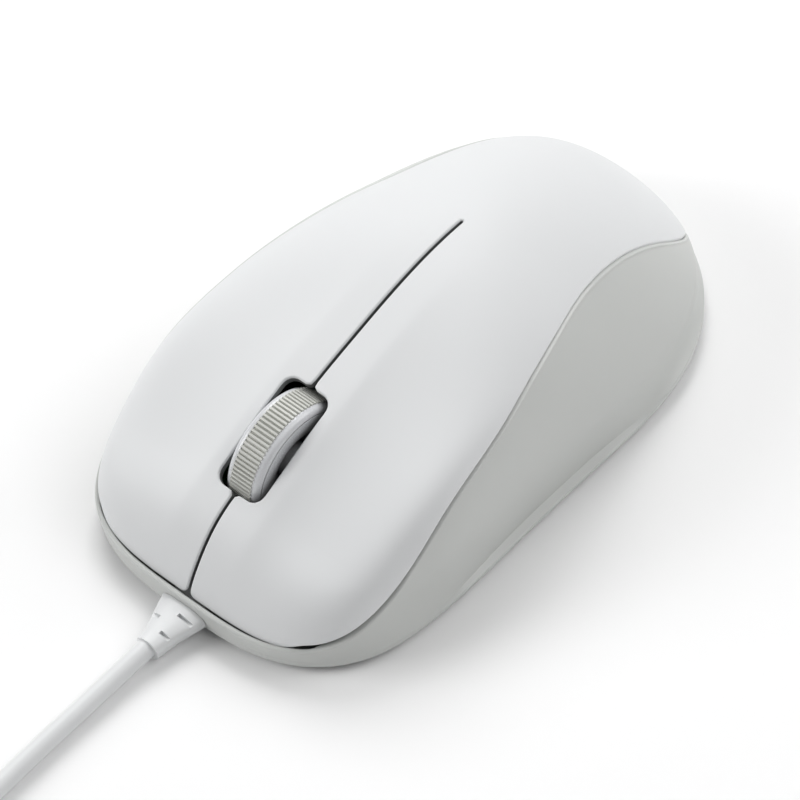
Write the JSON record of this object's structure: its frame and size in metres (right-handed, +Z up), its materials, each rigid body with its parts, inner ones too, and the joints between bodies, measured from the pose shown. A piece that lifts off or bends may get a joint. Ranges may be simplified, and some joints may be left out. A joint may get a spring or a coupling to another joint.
{
  "type": "computer mouse",
  "caption": "Corded optical mouse: white domed cover with flexing buttons, grey waisted frame, ribbed scroll wheel, strain relief and coiled cord with plug.",
  "frame": {"origin": "on the table under the middle of the housing", "axes": "+Z up, cord leaves toward -Y, the user's left hand side is +X"},
  "size_m": [0.0887, 0.2041, 0.031],
  "materials": {
    "white_shell": "fine matt texture",
    "grey_shell": "fine matt texture",
    "base_plastic": "matt",
    "foot_film": "low-friction film",
    "steel": "zinc plated",
    "wheel_plastic": "satin",
    "tyre_band": "satin ribs",
    "inner_white": "moulded",
    "spring_wire": "bright",
    "switch_body": "moulded",
    "plunger_red": "moulded",
    "board_green": "solder mask",
    "chip_black": "moulded epoxy",
    "clear_plastic": "clear",
    "lamp_red": "tinted epoxy",
    "eye_dark": "tinted epoxy",
    "can_metal": "bright",
    "cord_jacket": "soft jacket",
    "cord_sheen": "soft moulded",
    "tie_white": "soft",
    "wire_colours": "insulated",
    "contact_gold": "gold flash"
  },
  "bodies": {
    "housing": {"top_cover": "white_shell", "side_frame": "grey_shell", "bottom_case": "base_plastic", "front_glide_foot": "foot_film", "rear_glide_foot": "foot_film", "case_screws": "steel", "frame_screws": "steel", "board_screws": "steel", "ballast_weight": "steel", "click_spring": "spring_wire", "left_switch": "switch_body", "right_switch": "switch_body", "middle_switch": "switch_body", "circuit_board": "board_green", "wheel_emitter": "clear_plastic", "wheel_detector": "eye_dark", "sensor_chip": "chip_black", "lens_plate": "clear_plastic", "sensor_led": "lamp_red", "led_clip": "chip_black", "controller_chip": "chip_black", "crystal": "can_metal", "capacitors": "can_metal", "resistors": "chip_black", "cable_header": "inner_white", "cable_plug": "inner_white", "signal_wires": "wire_colours", "strain_relief": "cord_sheen", "cord_sheath": "cord_jacket", "cord_lead": "cord_jacket", "cord_coil": "cord_jacket", "cord_tail": "cord_jacket", "cord_tie": "tie_white", "plug_relief": "cord_sheen", "plug_grip": "cord_sheen", "usb_shell": "steel", "usb_tongue": "inner_white", "usb_contacts": "contact_gold"},
    "left_button": {"left_button": "white_shell"},
    "right_button": {"right_button": "white_shell"},
    "left_plunger": {"left_plunger": "plunger_red"},
    "right_plunger": {"right_plunger": "plunger_red"},
    "wheel_carrier": {"wheel_carrier": "inner_white"},
    "wheel": {"wheel_hub": "wheel_plastic", "wheel_tyre": "tyre_band"},
    "middle_plunger": {"middle_plunger": "plunger_red"}
  },
  "joints": [
    {"name": "left_press", "type": "hinge", "parent": "housing", "child": "left_button", "pos_m": [0.0145, 0.013, 0.028], "axis": [1, 0, 0], "range_deg": [0, 0.45], "stiffness_Nm_per_rad": 2.5},
    {"name": "right_press", "type": "hinge", "parent": "housing", "child": "right_button", "pos_m": [-0.0145, 0.013, 0.028], "axis": [1, 0, 0], "range_deg": [0, 0.45], "stiffness_Nm_per_rad": 2.5},
    {"name": "left_plunger_slide", "type": "slide", "parent": "housing", "child": "left_plunger", "axis": [0, 0, -1], "range_m": [0, 0.00035]},
    {"name": "right_plunger_slide", "type": "slide", "parent": "housing", "child": "right_plunger", "axis": [0, 0, -1], "range_m": [0, 0.00035]},
    {"name": "wheel_click", "type": "hinge", "parent": "housing", "child": "wheel_carrier", "pos_m": [0, -0.041, 0.0065], "axis": [-1, 0, 0], "range_deg": [0, 1.55], "stiffness_Nm_per_rad": 0.4, "deforming": ["click_spring"]},
    {"name": "wheel_spin", "type": "hinge", "parent": "wheel_carrier", "child": "wheel", "pos_m": [0, -0.0265, 0.0154], "axis": [1, 0, 0], "continuous": true},
    {"name": "middle_plunger_slide", "type": "slide", "parent": "housing", "child": "middle_plunger", "axis": [0, 0, -1], "range_m": [0, 0.0004]}
  ],
  "couplings": [
    {"joint": "left_plunger_slide", "follows": "left_press", "m_per_rad": 0.0435},
    {"joint": "right_plunger_slide", "follows": "right_press", "m_per_rad": 0.0435},
    {"joint": "middle_plunger_slide", "follows": "wheel_click", "m_per_rad": 0.0145}
  ]
}
